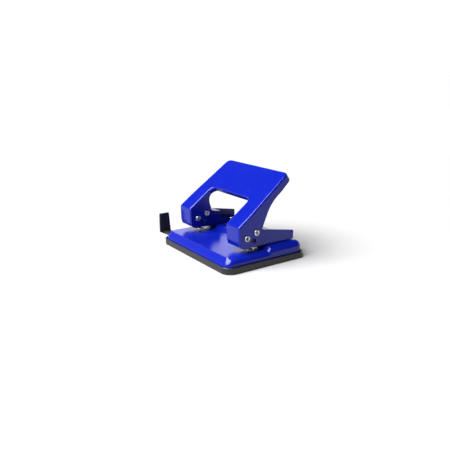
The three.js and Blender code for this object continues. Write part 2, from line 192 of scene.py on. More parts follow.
# Stoved gloss paint on pressed steel: an orange-peel skin, a slight drift of tone and a few dust specks.
def stoved_paint(name, colour, deep_colour):
    paint, tree, shader, place = bare_finish(name, "stoved gloss paint")
    shader.inputs["Specular IOR Level"].default_value = 0.3
    shader.inputs["Coat Weight"].default_value = 0.08
    shader.inputs["Coat Roughness"].default_value = 0.12

    tone_frame = tree.nodes.new("NodeFrame")
    tone_frame.label = "drift of tone"
    drift = tree.nodes.new("ShaderNodeTexNoise")
    drift.label = "uneven film thickness"
    drift.location = (-700, 300)
    drift.parent = tone_frame
    drift.inputs["Scale"].default_value = 28
    drift.inputs["Detail"].default_value = 3
    tone = tree.nodes.new("ShaderNodeMix")
    tone.label = "thin to thick film"
    tone.location = (-400, 300)
    tone.parent = tone_frame
    tone.data_type = "RGBA"
    tone.inputs["A"].default_value = (*deep_colour, 1)
    tone.inputs["B"].default_value = (*colour, 1)
    tree.links.new(place.outputs["Object"], drift.inputs["Vector"])
    tree.links.new(drift.outputs["Fac"], tone.inputs["Factor"])

    speck_frame = tree.nodes.new("NodeFrame")
    speck_frame.label = "dust specks"
    specks = tree.nodes.new("ShaderNodeTexVoronoi")
    specks.label = "scattered specks"
    specks.location = (-700, 0)
    specks.parent = speck_frame
    specks.inputs["Scale"].default_value = 180
    speck_mask = tree.nodes.new("ShaderNodeMapRange")
    speck_mask.label = "only the middles"
    speck_mask.location = (-500, 0)
    speck_mask.parent = speck_frame
    speck_mask.inputs["From Min"].default_value = 0.05
    speck_mask.inputs["From Max"].default_value = 0.03
    speck_colour = tree.nodes.new("ShaderNodeMix")
    speck_colour.label = "pale dust on paint"
    speck_colour.location = (-150, 200)
    speck_colour.parent = speck_frame
    speck_colour.data_type = "RGBA"
    speck_colour.inputs["B"].default_value = (0.12, 0.15, 0.5, 1)
    tree.links.new(place.outputs["Object"], specks.inputs["Vector"])
    tree.links.new(specks.outputs["Distance"], speck_mask.inputs["Value"])
    tree.links.new(speck_mask.outputs["Result"], speck_colour.inputs["Factor"])
    tree.links.new(tone.outputs["Result"], speck_colour.inputs["A"])
    tree.links.new(speck_colour.outputs["Result"], shader.inputs["Base Color"])

    gloss_frame = tree.nodes.new("NodeFrame")
    gloss_frame.label = "gloss and orange peel"
    rub = tree.nodes.new("ShaderNodeTexNoise")
    rub.label = "handling rub"
    rub.location = (-700, -300)
    rub.parent = gloss_frame
    rub.inputs["Scale"].default_value = 60
    rub.inputs["Detail"].default_value = 4
    gloss = tree.nodes.new("ShaderNodeMapRange")
    gloss.label = "roughness"
    gloss.location = (-400, -300)
    gloss.parent = gloss_frame
    gloss.inputs["To Min"].default_value = 0.16
    gloss.inputs["To Max"].default_value = 0.26
    peel = tree.nodes.new("ShaderNodeTexNoise")
    peel.label = "orange peel"
    peel.location = (-700, -600)
    peel.parent = gloss_frame
    peel.inputs["Scale"].default_value = 620
    peel.inputs["Detail"].default_value = 1.5
    peel_bump = tree.nodes.new("ShaderNodeBump")
    peel_bump.label = "orange peel height"
    peel_bump.location = (-400, -600)
    peel_bump.parent = gloss_frame
    peel_bump.inputs["Strength"].default_value = 0.12
    peel_bump.inputs["Distance"].default_value = 0.0003
    tree.links.new(place.outputs["Object"], rub.inputs["Vector"])
    tree.links.new(rub.outputs["Fac"], gloss.inputs["Value"])
    tree.links.new(gloss.outputs["Result"], shader.inputs["Roughness"])
    tree.links.new(place.outputs["Object"], peel.inputs["Vector"])
    tree.links.new(peel.outputs["Fac"], peel_bump.inputs["Height"])
    tree.links.new(peel_bump.outputs["Normal"], shader.inputs["Normal"])
    return paint


blue_paint = stoved_paint("blue_paint", (0.003, 0.010, 0.27), (0.002, 0.008, 0.24))


# A new piece from corner points and faces, with its normals pointing out.
def mesh_piece(name, points, faces):
    mesh = bpy.data.meshes.new(name)
    mesh.from_pydata([tuple(p) for p in points], [], faces)
    shell = bmesh.new()
    shell.from_mesh(mesh)
    bmesh.ops.remove_doubles(shell, verts=shell.verts, dist=1e-7)
    bmesh.ops.recalc_face_normals(shell, faces=shell.faces)
    shell.to_mesh(mesh)
    shell.free()
    piece = bpy.data.objects.new(name, mesh)
    bpy.context.scene.collection.objects.link(piece)
    return piece


# The piece with its modifiers taken into a plain mesh.
def settled(piece):
    depsgraph = bpy.context.evaluated_depsgraph_get()
    mesh = bpy.data.meshes.new_from_object(piece.evaluated_get(depsgraph))
    old = piece.data
    piece.modifiers.clear()
    piece.data = mesh
    bpy.data.meshes.remove(old)
    return piece


# Cuts tools away from a piece (or keeps only what they share) and throws the tools away.
def cut(piece, *tools, keep="DIFFERENCE"):
    for tool in tools:
        step = piece.modifiers.new("cut", "BOOLEAN")
        step.operation = keep
        step.solver = "EXACT"
        step.object = tool
    settled(piece)
    for tool in tools:
        bpy.data.objects.remove(tool)
    return piece


# A straight rod along an axis, used to drill holes.
def rod(name, radius, start, end, sides=48):
    start, end = Vector(start), Vector(end)
    turn = (end - start).to_track_quat("Z", "Y").to_matrix()
    ring = [(radius * math.cos(math.tau * i / sides), radius * math.sin(math.tau * i / sides))
            for i in range(sides)]
    points = [start + turn @ Vector((x, y, 0)) for x, y in ring]
    points += [end + turn @ Vector((x, y, 0)) for x, y in ring]
    faces = [tuple(reversed(range(sides))), tuple(range(sides, 2 * sides))]
    faces += [(i, (i + 1) % sides, sides + (i + 1) % sides, sides + i) for i in range(sides)]
    return mesh_piece(name, points, faces)


def block(name, low, high):
    points = [(x, y, z) for x in (low[0], high[0]) for y in (low[1], high[1]) for z in (low[2], high[2])]
    faces = [(0, 1, 3, 2), (4, 6, 7, 5), (0, 4, 5, 1), (2, 3, 7, 6), (0, 2, 6, 4), (1, 5, 7, 3)]
    return mesh_piece(name, points, faces)


# Gives a finished piece its finish, smooth shading and body, and hides the CAD nodes it stands for.
def hand_over(piece, body, nodes, finish, crease=38):
    piece.data.materials.clear()
    piece.data.materials.append(finish)
    for face in piece.data.polygons:
        face.material_index = 0
        face.use_smooth = True
    piece.data.set_sharp_from_angle(angle=math.radians(crease))
    even = piece.modifiers.new("flat_faces_stay_flat", "WEIGHTED_NORMAL")
    even.weight = 100
    even.keep_sharp = True
    settled(piece)
    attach(piece, body)
    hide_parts(*nodes)
    return piece


base_low, base_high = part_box("base_plate")
STOP_Y = 0.0036
FRONT_TOP = 0.0133
REAR_TOP = base_high.z
STEP_LENGTH = 0.0036
SHEET = 0.0012
BASE_CORNER = 0.008
SIDE_ROLL = (0.0066, 0.0058)      # how far the side edge runs in, and how far it drops
FRONT_SLOPE = (0.0042, 0.0066)    # the same for the flat sloping front
ROLL_STEPS = 12


def deck_height(y):
    rise = min(max((y - STOP_Y) / STEP_LENGTH + 0.5, 0), 1)
    return FRONT_TOP + (REAR_TOP - FRONT_TOP) * rise * rise * (3 - 2 * rise)


# The outline's stations down one side, from the middle of the front round to the middle of the rear:
# each is a corner centre, an outward direction and whether it is on the front.
def base_stations():
    half_x = base_high.x - BASE_CORNER
    stations = []
    for i in range(13):
        angle = math.radians(-90 + 90 * i / 12)
        stations.append((half_x, base_low.y + BASE_CORNER, math.cos(angle), math.sin(angle)))
    step_run = [STOP_Y + STEP_LENGTH * (i / 10 - 0.5) for i in range(11)]
    front_run = [base_low.y + BASE_CORNER + 0.006 * i for i in range(1, 7)]
    rear_run = [STOP_Y + 0.004 + 0.005 * i for i in range(6)]
    for y in front_run + step_run + rear_run:
        stations.append((half_x, y, 1, 0))
    for i in range(13):
        angle = math.radians(90 * i / 12)
        stations.append((half_x, base_high.y - BASE_CORNER, math.cos(angle), math.sin(angle)))
    return stations


def base_skin():
    stations = base_stations()
    rings = []
    for level in range(-1, ROLL_STEPS + 1):
        turn = max(level, 0) / ROLL_STEPS
        ring = []
        for x, y, out_x, out_y in stations:
            frontness = max(-out_y, 0) ** 2
            round_in = SIDE_ROLL[0] * (1 - math.cos(turn * math.pi / 2))
            round_up = SIDE_ROLL[1] * (1 - math.sin(turn * math.pi / 2))
            ease = turn * turn * (3 - 2 * turn)
            flat_in = FRONT_SLOPE[0] * (0.75 * turn + 0.25 * ease)
            flat_up = FRONT_SLOPE[1] * (1 - turn)
            run_in = round_in + (flat_in - round_in) * frontness
            down = round_up + (flat_up - round_up) * frontness
            reach = BASE_CORNER - run_in
            here_y = y + out_y * reach
            height = base_low.z if level < 0 else deck_height(here_y) - down
            ring.append(Vector((x + out_x * reach, here_y, height)))
        rings.append(ring)
    count = len(stations)
    points = [p for ring in rings for p in ring]
    mirror = len(points)
    points += [Vector((-p.x, p.y, p.z)) for p in points]
    faces = []
    for r in range(len(rings) - 1):
        for i in range(count - 1):
            a = r * count + i
            faces.append((a, a + 1, a + count + 1, a + count))
            faces.append((mirror + a, mirror + a + count, mirror + a + count + 1, mirror + a + 1))
        front = r * count
        rear = r * count + count - 1
        faces.append((front, front + count, mirror + front + count, mirror + front))
        faces.append((rear, mirror + rear, mirror + rear + count, rear + count))
    top = (len(rings) - 1) * count
    for i in range(count - 1):
        faces.append((top + i, top + i + 1, mirror + top + i + 1, mirror + top + i))
    return points, faces


base_cover = mesh_piece("base_cover", *base_skin())
flow = bmesh.new()
flow.from_mesh(base_cover.data)
flow.faces.ensure_lookup_table()
if max(flow.faces, key=lambda f: f.calc_center_median().z).normal.z < 0:
    bmesh.ops.reverse_faces(flow, faces=flow.faces)
flow.to_mesh(base_cover.data)
flow.free()
thickness = base_cover.modifiers.new("sheet_thickness", "SOLIDIFY")
thickness.thickness = SHEET
thickness.offset = -1
settled(base_cover)
drills = []
for side in ("left", "right"):
    low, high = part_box(f"die_{side}")
    middle = (low + high) / 2
    drills.append(rod("die_seat", 0.0048, (middle.x, middle.y, 0.006), (middle.x, middle.y, 0.02)))
arm_low, arm_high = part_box("gauge_rail")
drills.append(block(
    "gauge_slot",
    (base_low.x - 0.005, arm_low.y + 0.0013, arm_low.z + 0.0012),
    (base_low.x + 0.006, arm_high.y - 0.0013, arm_high.z - 0.0012),
))
cut(base_cover, *drills)
hand_over(base_cover, "base", ["base_plate"], blue_paint)


# ---------------------------------------------------------------- chip tray
# A shallow tray moulded in black plastic. It clips up round the base's skirt, and it is what the punch stands on.
# The mould leaves a fine even grain, slightly polished where hands and desks rub it.
def moulded_plastic(name, colour, worn_colour, grain_scale):
    plastic, tree, shader, place = bare_finish(name, "moulded plastic")
    shader.inputs["Specular IOR Level"].default_value = 0.5

    colour_frame = tree.nodes.new("NodeFrame")
    colour_frame.label = "flow marks and wear"
    flow_marks = tree.nodes.new("ShaderNodeTexNoise")
    flow_marks.label = "flow marks"
    flow_marks.location = (-650, 250)
    flow_marks.parent = colour_frame
    flow_marks.inputs["Scale"].default_value = 35
    flow_marks.inputs["Detail"].default_value = 5
    worn = tree.nodes.new("ShaderNodeMix")
    worn.label = "fresh to rubbed"
    worn.location = (-350, 250)
    worn.parent = colour_frame
    worn.data_type = "RGBA"
    worn.inputs["A"].default_value = (*colour, 1)
    worn.inputs["B"].default_value = (*worn_colour, 1)
    tree.links.new(place.outputs["Object"], flow_marks.inputs["Vector"])
    tree.links.new(flow_marks.outputs["Fac"], worn.inputs["Factor"])
    tree.links.new(worn.outputs["Result"], shader.inputs["Base Color"])

    grain_frame = tree.nodes.new("NodeFrame")
    grain_frame.label = "mould grain"
    grain = tree.nodes.new("ShaderNodeTexVoronoi")
    grain.label = "spark-eroded grain"
    grain.location = (-650, -150)
    grain.parent = grain_frame
    grain.inputs["Scale"].default_value = grain_scale
    grain_bump = tree.nodes.new("ShaderNodeBump")
    grain_bump.label = "grain height"
    grain_bump.location = (-350, -300)
    grain_bump.parent = grain_frame
    grain_bump.inputs["Strength"].default_value = 0.25
    grain_bump.inputs["Distance"].default_value = 0.0002
    sheen_range = tree.nodes.new("ShaderNodeMapRange")
    sheen_range.label = "roughness"
    sheen_range.location = (-350, -80)
    sheen_range.parent = grain_frame
    sheen_range.inputs["To Min"].default_value = 0.34
    sheen_range.inputs["To Max"].default_value = 0.5
    tree.links.new(place.outputs["Object"], grain.inputs["Vector"])
    tree.links.new(grain.outputs["Distance"], grain_bump.inputs["Height"])
    tree.links.new(flow_marks.outputs["Fac"], sheen_range.inputs["Value"])
    tree.links.new(sheen_range.outputs["Result"], shader.inputs["Roughness"])
    tree.links.new(grain_bump.outputs["Normal"], shader.inputs["Normal"])
    return plastic


black_plastic = moulded_plastic("black_plastic", (0.008, 0.008, 0.011), (0.016, 0.016, 0.020), 1500)

tray_low, tray_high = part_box("chip_tray")
TRAY_CORNER = 0.009
TRAY_WALL = 0.0014
TRAY_FLOOR = 0.0016
CORNER_STEPS = 14


# A closed ring of points: a rectangle with round corners, drawn in by inset.
def round_ring(low, high, corner, inset, height, steps=CORNER_STEPS):
    ring = []
    radius = max(corner - inset, 0.0004)
    middle_x = (low.x + high.x) / 2
    middle_y = (low.y + high.y) / 2
    half_x = (high.x - low.x) / 2 - inset - radius
    half_y = (high.y - low.y) / 2 - inset - radius
    for quarter, (sx, sy) in enumerate(((1, 1), (-1, 1), (-1, -1), (1, -1))):
        for i in range(steps + 1):
            angle = math.radians(90 * (quarter + i / steps))
            x = middle_x + sx * half_x + radius * math.cos(angle)
            y = middle_y + sy * half_y + radius * math.sin(angle)
            ring.append(Vector((x, y, height)))
    return ring


# Closed shell through a stack of rings, capped flat at its first and last ring.
def stacked(name, rings):
    count = len(rings[0])
    points = [p for ring in rings for p in ring]
    faces = [tuple(reversed(range(count)))]
    for r in range(len(rings) - 1):
        for i in range(count):
            a = r * count + i
            b = r * count + (i + 1) % count
            faces.append((a, b, b + count, a + count))
    last = (len(rings) - 1) * count
    faces.append(tuple(range(last, last + count)))
    return mesh_piece(name, points, faces)


tray_profile = [
    (0.0009, 0), (0.0003, 0.0002), (0, 0.0008), (0.0001, 0.0053), (0.0003, 0.0058), (0.0006, 0.0061),
    (0.0009, 0.0061), (0.00125, 0.0059), (TRAY_WALL, 0.0055), (TRAY_WALL, TRAY_FLOOR + 0.0008),
    (TRAY_WALL + 0.0003, TRAY_FLOOR + 0.0003), (TRAY_WALL + 0.0009, TRAY_FLOOR),
]
tray_shell = stacked(
    "tray_shell",
    [round_ring(tray_low, tray_high, TRAY_CORNER, inset, height) for inset, height in tray_profile],
)
hand_over(tray_shell, "chip_tray", ["chip_tray"], black_plastic)


# ---------------------------------------------------------------- lever
# One steel pressing: a handle plate with its edges folded down, a hand cut-out, and a box leg each side.
# It leans back about the hinge line through the pivot pins. Same stoved blue paint as the base.
lever_low, lever_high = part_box("lever")
pivot_low, pivot_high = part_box("pivot_pin_right")
hinge = Vector((0, (pivot_low.y + pivot_high.y) / 2, (pivot_low.z + pivot_high.z) / 2))
LEAN = 0.6347                      # the plate's slope, in radians
PLATE_HEIGHT = 0.01363             # from the hinge line to the plate's outer face
PLATE_END = 0.0695                 # from the hinge line to the plate's rear end, along the slope
CUTOUT_END = 0.0316
LEG_INNER = 0.0301
HEEL = 0.0098
FOLD = 0.0018                      # outer radius of the folds


def on_plate(along, height):
    return Vector((
        math.cos(LEAN) * along - math.sin(LEAN) * height,
        math.sin(LEAN) * along + math.cos(LEAN) * height,
    ))


# An outline with each corner [u, v, radius] rounded by an arc of short steps.
def rounded(corners, steps=6):
    outline = []
    count = len(corners)
    for i, corner in enumerate(corners):
        here = Vector(corner[:2])
        radius = corner[2] if len(corner) > 2 else 0
        if radius == 0:
            outline.append(here)
            continue
        before = (Vector(corners[i - 1][:2]) - here).normalized()
        after = (Vector(corners[(i + 1) % count][:2]) - here).normalized()
        half = before.angle(after) / 2
        centre = here + (before + after).normalized() * (radius / math.sin(half))
        start = here + before * (radius / math.tan(half)) - centre
        end = here + after * (radius / math.tan(half)) - centre
        sweep = start.angle_signed(end)
        for k in range(steps + 1):
            turn = -sweep * k / steps
            outline.append(centre + Matrix.Rotation(turn, 2) @ start)
    return outline


# A smooth line through a few points, as a draughtsman's spline.
def smooth_line(points, steps=5):
    points = [Vector(p) for p in points]
    ends = [points[0] * 2 - points[1]] + points + [points[-1] * 2 - points[-2]]
    line = []
    for a, b, c, d in zip(ends, ends[1:], ends[2:], ends[3:]):
        for k in range(steps):
            t = k / steps
            line.append(0.5 * (2 * b + (c - a) * t + (2 * a - 5 * b + 4 * c - d) * t * t
                               + (3 * b - a - 3 * c + d) * t ** 3))
    return line + [points[-1]]


# A side outline in Y and Z, run across from x = low to x = high.
def across(name, outline, low, high, origin=Vector((0, 0, 0))):
    count = len(outline)
    points = [origin + Vector((x, p[0], p[1])) for x in (low, high) for p in outline]
    faces = [tuple(range(count)), tuple(reversed(range(count, 2 * count)))]
    faces += [(i, (i + 1) % count, count + (i + 1) % count, count + i) for i in range(count)]
    return mesh_piece(name, points, faces)


# A plan outline laid on the lever's slope (x, along), standing square to it from low to high.
def on_slope(name, outline, low, high):
    points = []
    for height in (low, high):
        for p in outline:
            place = on_plate(p[1], height)
            points.append(hinge + Vector((p[0], place.x, place.y)))
    count = len(outline)
    faces = [tuple(range(count)), tuple(reversed(range(count, 2 * count)))]
    faces += [(i, (i + 1) % count, count + (i + 1) % count, count + i) for i in range(count)]
    return mesh_piece(name, points, faces)


# The legs' round lower end and their front, from the rear of the heel forward and up to the plate.
def leg_front():
    heel = [Vector((HEEL * math.cos(a), HEEL * math.sin(a)))
            for a in (math.radians(-50 - 85 * i / 14) for i in range(15))]
    return heel + rounded([(-0.0069, -0.0071), (-0.0082, -0.0027), (-0.0086, 0.0106, 0.0024),
                           tuple(on_plate(0.03, PLATE_HEIGHT))])[1:-1]


def flange_outline():
    rear = rounded([
        (0, 0.02), tuple(on_plate(PLATE_END, PLATE_HEIGHT)), (*on_plate(PLATE_END, PLATE_HEIGHT - 0.007), 0.001),
        tuple(on_plate(PLATE_END - 0.02, PLATE_HEIGHT - 0.008)),
    ])[1:-1]
    edge = smooth_line([(0.0403, 0.0366), (0.0317, 0.0302), (0.0251, 0.0227), (0.0185, 0.0101),
                        (0.0146, 0.0016), (0.0114, -0.004), (0.0063, -0.0075)])
    return rear + edge + leg_front()[1:]


def inner_outline():
    edge = smooth_line([(0.0184, 0.0244), (0.0156, 0.0222), (0.0136, 0.0186), (0.0139, 0.0137),
                        (0.0153, 0.0086), (0.0145, 0.0016), (0.0114, -0.004), (0.0063, -0.0075)])
    lip_end = on_plate(CUTOUT_END + 0.004, PLATE_HEIGHT - 0.0046)
    return [on_plate(CUTOUT_END + 0.004, PLATE_HEIGHT + 0.004), lip_end] + edge + leg_front()[1:]


def plate_plan(inset):
    front = lever_high.x - inset
    rear = 0.0461 - inset
    end = PLATE_END - inset
    right = [(front, -0.06), (front, 0.012), (front - 0.0007, 0.026)]
    corner = rounded([(front - 0.0007, 0.026), (rear, end, 0.006 - inset), (-rear, end)], 12)[1:-1]
    half = [Vector(p) for p in right] + corner
    return half + [Vector((-p.x, p.y)) for p in reversed(half)]


def cutout_plan(margin):
    half = LEG_INNER + margin
    return rounded([(-half, -0.06), (half, -0.06), (half, CUTOUT_END + margin, 0.006 + margin),
                    (-half, CUTOUT_END + margin, 0.006 + margin)], 12)


# Rounds off the folds of a solid: the edges whose ends pass the test, by the fold's outer radius.
def round_folds(piece, on_skin, radius, segments=5):
    solid = bmesh.new()
    solid.from_mesh(piece.data)
    bmesh.ops.remove_doubles(solid, verts=solid.verts, dist=2e-6)
    bmesh.ops.dissolve_limit(solid, angle_limit=math.radians(0.5), verts=solid.verts, edges=solid.edges)
    folds = [e for e in solid.edges
             if e.is_manifold and e.calc_face_angle(0) > math.radians(40) and all(on_skin(v.co) for v in e.verts)]
    bmesh.ops.bevel(solid, geom=folds, offset=radius, offset_type="OFFSET", segments=segments, profile=0.5,
                    affect="EDGES", clamp_overlap=False)
    solid.to_mesh(piece.data)
    solid.free()
    return piece


def on_lever_skin(place):
    y = place.y - hinge.y
    z = place.z - hinge.z
    height = -math.sin(LEAN) * y + math.cos(LEAN) * z
    return abs(height - PLATE_HEIGHT) < 0.00012 or (y < -0.0066 and z > -0.0072)


lever_shell = across("lever_shell", flange_outline(), lever_low.x, lever_high.x, hinge)
cut(lever_shell, on_slope("plan", plate_plan(0), -0.06, 0.04), keep="INTERSECT")
cut(lever_shell, on_slope("cutout", cutout_plan(0), -0.06, 0.04))
round_folds(lever_shell, on_lever_skin, FOLD)

plate_inside = on_plate(0, PLATE_HEIGHT - SHEET)
front_inside = plate_inside.y + (-0.0074 - plate_inside.x) * math.tan(LEAN)
hollow = across("hollow", [
    Vector((-0.0074, front_inside)), on_plate(PLATE_END + 0.004, PLATE_HEIGHT - SHEET),
    on_plate(PLATE_END + 0.004, -0.06), Vector((-0.0056, -0.06)), Vector((-0.0056, -0.007)),
    Vector((-0.007, -0.0025)),
], lever_low.x, lever_high.x, hinge)
cut(hollow, on_slope("plan", plate_plan(SHEET), -0.1, 0.04), keep="INTERSECT")
cut(hollow, on_slope("cutout", cutout_plan(SHEET), -0.1, 0.04))
cut(lever_shell, hollow)

# The inner flanges and the lip round the cut-out are shallower than the outer flanges.
trim_reach = CUTOUT_END + 0.0035
trim = on_slope("trim", [(-0.0316, -0.05), (0.0316, -0.05), (0.0316, trim_reach), (-0.0316, trim_reach)],
                -0.06, PLATE_HEIGHT - 0.0001)
cut(trim, across("kept", inner_outline(), -0.04, 0.04, hinge))
cut(lever_shell, trim)

cross_low, cross_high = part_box("cross_pin_right")
cross = Vector((0, (cross_low.y + cross_high.y) / 2, (cross_low.z + cross_high.z) / 2))
window = hinge + Vector((0, 0.0077, -0.0035))
reach = Vector((0.06, 0, 0))
cut(lever_shell,
    rod("pivot_hole", 0.0019, hinge - reach, hinge + reach),
    rod("cross_hole", 0.0016, cross - reach, cross + reach),
    rod("window", 0.0024, window - reach, window + reach))
hand_over(lever_shell, "lever", ["lever"], blue_paint, crease=32)

# ---------------------------------------------------------------- brackets
# One folded steel channel under each leg. Its outer wall is tall and its inner wall is low behind the roof.
# Its floor is riveted to the raised half of the base. Same stoved blue paint.
bracket_paint = stoved_paint("bracket_paint", (0.003, 0.010, 0.27), (0.002, 0.008, 0.24))
BRACKET_SHEET = 0.0014
WEB = 0.0012
ROOF_END = 0.0094
BRACKET_FOLD = 0.0009
RIVET_Y = (0.014, 0.029)


def bracket_side(low, high):
    return rounded([
        (hinge.y + 0.003, low.z, 0.002), (high.y, low.z), (high.y, 0.02525, 0.0012), (0.0008, 0.0316, 0.003),
        (-0.0055, high.z, 0.003), (hinge.y - 0.002, high.z, 0.0015), (low.y, 0.033, 0.001), (low.y, 0.0215, 0.001),
    ])


def bracket_room(low, high):
    return rounded([
        (-0.04, low.z + WEB), (0.06, low.z + WEB), (0.06, 0.04), (ROOF_END, 0.04), (ROOF_END, 0.03006 - WEB),
        (0.0006, 0.0316 - WEB, 0.002), (-0.0058, high.z - WEB, 0.002), (-0.04, high.z - WEB),
    ])


for side, sign in (("left", -1), ("right", 1)):
    low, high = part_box(f"bracket_{side}")
    centre_x = (low.x + high.x) / 2
    punch_low, punch_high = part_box(f"punch_{side}")
    punch_y = (punch_low.y + punch_high.y) / 2
    punch_room = (punch_high.x - punch_low.x) / 2 + 0.0003

    def on_fold(place):
        return place.z < low.z + 0.0005

    channel = across(f"bracket_channel_{side}", bracket_side(low, high), low.x, high.x)
    round_folds(channel, on_fold, BRACKET_FOLD)
    inner = sorted((sign * 0.0318, sign * (0.0328 + BRACKET_SHEET)))
    cut(channel, across("room", bracket_room(low, high), low.x + BRACKET_SHEET, high.x - BRACKET_SHEET))
    above_inner_wall = [Vector(p) for p in (
        (ROOF_END, 0.04), (ROOF_END, 0.0229), (0.021, 0.0209),
        (0.021, low.z + WEB), (0.06, low.z + WEB), (0.06, 0.04),
    )]
    cut(channel, across("above_inner_wall", above_inner_wall, *inner))
    pin_slot = rounded([
        (hinge.y + 0.0083, 0.02, 0.002), (hinge.y + 0.0129, 0.02, 0.002),
        (hinge.y + 0.0129, 0.0328, 0.002), (hinge.y + 0.0083, 0.0328, 0.002),
    ])
    cut(channel,
        across("pin_slot", pin_slot, centre_x - 0.02, centre_x + 0.02),
        rod("pivot_hole", 0.0021, (centre_x - 0.02, hinge.y, hinge.z), (centre_x + 0.02, hinge.y, hinge.z)))
    cut(channel, rod("punch_hole", punch_room, (centre_x, punch_y, 0.01), (centre_x, punch_y, 0.04)))
    for y in RIVET_Y:
        cut(channel, rod("rivet_hole", 0.0019, (centre_x, y, 0.01), (centre_x, y, 0.02), 24))
    hand_over(channel, "base", [f"bracket_{side}"], bracket_paint, crease=32)


# ---------------------------------------------------------------- pins, rivets and washers
# Tubular steel pins through both flanges of each leg, set over at their ends, and rivets with domed heads.
# All are turned and bright zinc plated; thin washers keep the legs central.

# Bright steel with fine working marks along one axis, a faint yellow drift in its plating and small stains.
def worked_steel(name, colour, dull_colour, smooth, rough, marks):
    steel, tree, shader, place = bare_finish(name, "worked steel")
    shader.inputs["Metallic"].default_value = 1.0

    tone_frame = tree.nodes.new("NodeFrame")
    tone_frame.label = "plating tone and stains"
    stains = tree.nodes.new("ShaderNodeTexNoise")
    stains.label = "stains"
    stains.location = (-600, 250)
    stains.parent = tone_frame
    stains.inputs["Scale"].default_value = 320
    stains.inputs["Detail"].default_value = 4
    tone = tree.nodes.new("ShaderNodeMix")
    tone.label = "bright to stained"
    tone.location = (-300, 250)
    tone.parent = tone_frame
    tone.data_type = "RGBA"
    tone.inputs["A"].default_value = (*colour, 1)
    tone.inputs["B"].default_value = (*dull_colour, 1)
    tree.links.new(place.outputs["Object"], stains.inputs["Vector"])
    tree.links.new(stains.outputs["Fac"], tone.inputs["Factor"])
    tree.links.new(tone.outputs["Result"], shader.inputs["Base Color"])

    mark_frame = tree.nodes.new("NodeFrame")
    mark_frame.label = "working marks"
    stretch = tree.nodes.new("ShaderNodeMapping")
    stretch.label = "drawn out one way"
    stretch.location = (-800, -200)
    stretch.parent = mark_frame
    stretch.inputs["Scale"].default_value = marks
    lines = tree.nodes.new("ShaderNodeTexNoise")
    lines.label = "tool marks"
    lines.location = (-600, -200)
    lines.parent = mark_frame
    lines.inputs["Scale"].default_value = 1
    lines.inputs["Detail"].default_value = 3
    wear = tree.nodes.new("ShaderNodeMapRange")
    wear.label = "roughness"
    wear.location = (-300, -80)
    wear.parent = mark_frame
    wear.inputs["To Min"].default_value = smooth
    wear.inputs["To Max"].default_value = rough
    height = tree.nodes.new("ShaderNodeBump")
    height.label = "mark depth"
    height.location = (-300, -350)
    height.parent = mark_frame
    height.inputs["Strength"].default_value = 0.15
    height.inputs["Distance"].default_value = 0.0001
    tree.links.new(place.outputs["Object"], stretch.inputs["Vector"])
    tree.links.new(stretch.outputs["Vector"], lines.inputs["Vector"])
    tree.links.new(lines.outputs["Fac"], wear.inputs["Value"])
    tree.links.new(wear.outputs["Result"], shader.inputs["Roughness"])
    tree.links.new(lines.outputs["Fac"], height.inputs["Height"])
    tree.links.new(height.outputs["Normal"], shader.inputs["Normal"])
    return steel


plated_steel = worked_steel("plated_steel", (0.66, 0.66, 0.70), (0.50, 0.49, 0.48), 0.20, 0.36, (3200, 700, 700))
ground_steel = worked_steel("ground_steel", (0.58, 0.58, 0.60), (0.44, 0.43, 0.42), 0.14, 0.30, (900, 900, 5200))
spring_wire = worked_steel("spring_wire", (0.42, 0.42, 0.44), (0.26, 0.24, 0.22), 0.26, 0.42, (1800, 1800, 1800))


# A profile of (radius, height) spun about Z. A profile that leaves the axis alone closes on itself as a ring.
def spun(name, profile, sides=48):
    solid = profile[0][0] == 0
    rings = [p for p in profile if p[0] > 0]
    points = [(r * math.cos(math.tau * i / sides), r * math.sin(math.tau * i / sides), h)
              for r, h in rings for i in range(sides)]
    spans = len(rings) - 1 if solid else len(rings)
    faces = []
    for k in range(spans):
        here = k * sides
        there = (k + 1) % len(rings) * sides
        faces += [(here + i, here + (i + 1) % sides, there + (i + 1) % sides, there + i) for i in range(sides)]
    if solid:
        faces.append(tuple(reversed(range(sides))))
        faces.append(tuple(range((len(rings) - 1) * sides, len(rings) * sides)))
    return mesh_piece(name, points, faces)


# Sets one made piece out at every point handed in, turned as asked, and gives it its finish.
setting_out = bpy.data.node_groups.new("setting_out", "GeometryNodeTree")
sockets = setting_out.interface
sockets.new_socket("Places", in_out="INPUT", socket_type="NodeSocketGeometry")
made_piece = sockets.new_socket("Made piece", in_out="INPUT", socket_type="NodeSocketObject")
turn_angle = sockets.new_socket("Turn", in_out="INPUT", socket_type="NodeSocketVector")
piece_finish = sockets.new_socket("Finish", in_out="INPUT", socket_type="NodeSocketMaterial")
sockets.new_socket("Set out", in_out="OUTPUT", socket_type="NodeSocketGeometry")
group_in = setting_out.nodes.new("NodeGroupInput")
group_in.location = (-600, 0)
made = setting_out.nodes.new("GeometryNodeObjectInfo")
made.label = "the made piece"
made.location = (-400, -150)
placed = setting_out.nodes.new("GeometryNodeInstanceOnPoints")
placed.label = "one at each place"
placed.location = (-200, 0)
joined = setting_out.nodes.new("GeometryNodeRealizeInstances")
joined.location = (0, 0)
finished = setting_out.nodes.new("GeometryNodeSetMaterial")
finished.location = (200, 0)
group_out = setting_out.nodes.new("NodeGroupOutput")
group_out.location = (400, 0)
setting_out.links.new(group_in.outputs["Places"], placed.inputs["Points"])
setting_out.links.new(group_in.outputs["Made piece"], made.inputs["Object"])
setting_out.links.new(made.outputs["Geometry"], placed.inputs["Instance"])
setting_out.links.new(group_in.outputs["Turn"], placed.inputs["Rotation"])
setting_out.links.new(placed.outputs["Instances"], joined.inputs["Geometry"])
setting_out.links.new(joined.outputs["Geometry"], finished.inputs["Geometry"])
setting_out.links.new(group_in.outputs["Finish"], finished.inputs["Material"])
setting_out.links.new(finished.outputs["Geometry"], group_out.inputs["Set out"])


